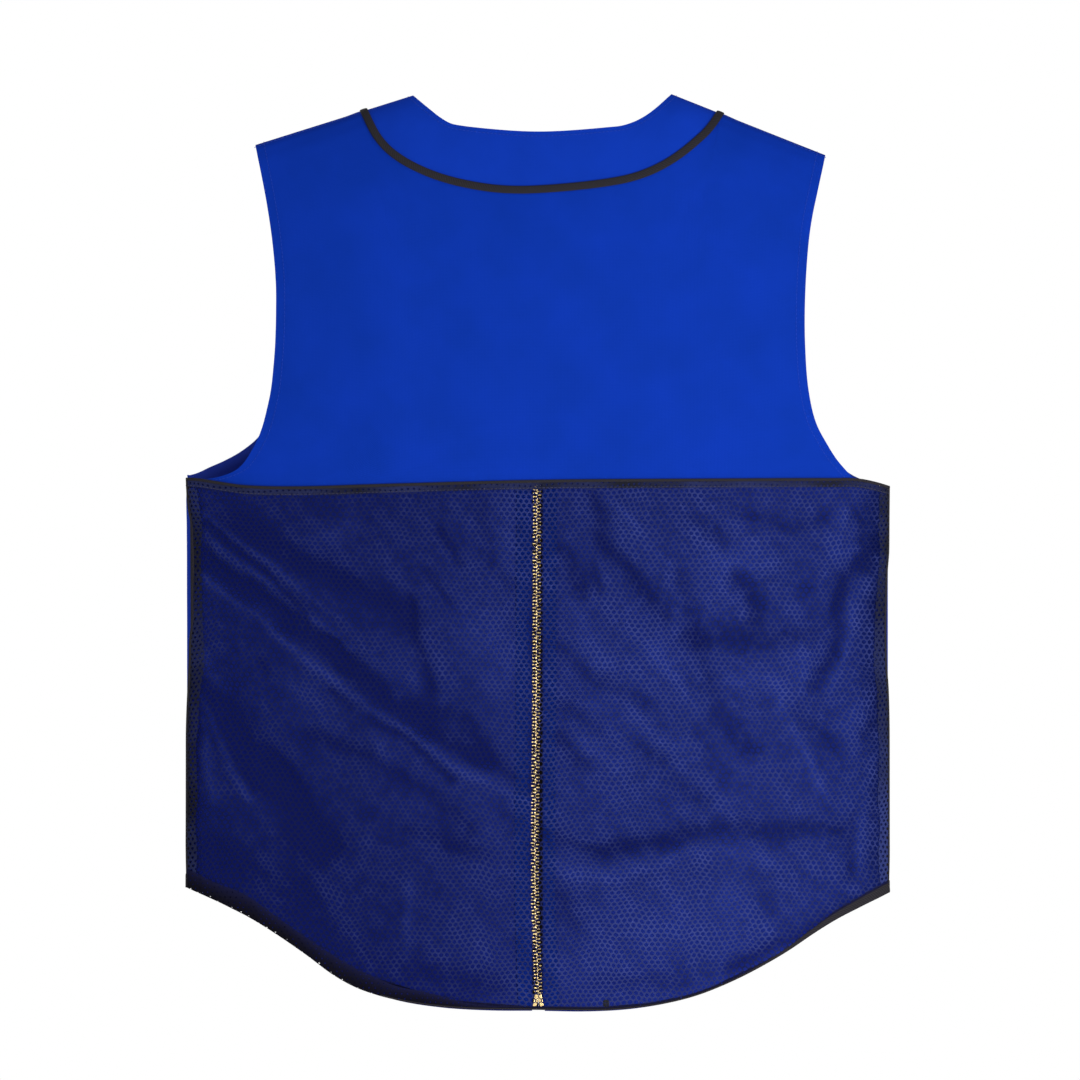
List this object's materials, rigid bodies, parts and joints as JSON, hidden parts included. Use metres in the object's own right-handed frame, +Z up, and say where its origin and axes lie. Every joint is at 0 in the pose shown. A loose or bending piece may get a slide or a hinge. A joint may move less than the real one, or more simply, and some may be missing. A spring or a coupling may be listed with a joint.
{
  "type": "barber vest",
  "caption": "Sleeveless zip-front vest with a plain blue yoke, piped neck band, dark see-through mesh lower back and a curved hem, shown hanging as worn.",
  "frame": {"origin": "midway between the two points where the shoulders meet the neck, on the shoulder plane", "axes": "+Z up, +Y the way the wearer faces (the back with the mesh is at -Y), +X to the wearer's right"},
  "size_m": [0.5534, 0.1136, 0.721],
  "materials": {
    "blue_cloth": "smooth plain weave with a faint sheen",
    "dark_piping": "matt flat braid",
    "dark_mesh": "open knitted net with a soft sheen",
    "doubled_mesh": "two layers of net, matt",
    "zip_tape": "tight woven tape",
    "gold_metal": "bright gold-coloured metal"
  },
  "bodies": {
    "root": {"back_yoke": "blue_cloth", "back_neck_band": "blue_cloth", "left_front": "blue_cloth", "right_front": "blue_cloth", "left_neck_band": "blue_cloth", "right_neck_band": "blue_cloth", "back_piping": "dark_piping", "left_piping": "dark_piping", "right_piping": "dark_piping", "mesh_back_panel": "dark_mesh", "yoke_seam_band": "doubled_mesh", "left_side_band": "doubled_mesh", "right_side_band": "doubled_mesh", "hem_band": "doubled_mesh", "zip_tape_left": "zip_tape", "zip_tape_right": "zip_tape", "zip_teeth_left": "gold_metal", "zip_teeth_right": "gold_metal", "zip_bottom_stop": "gold_metal", "zip_slider": "gold_metal"}
  },
  "joints": []
}
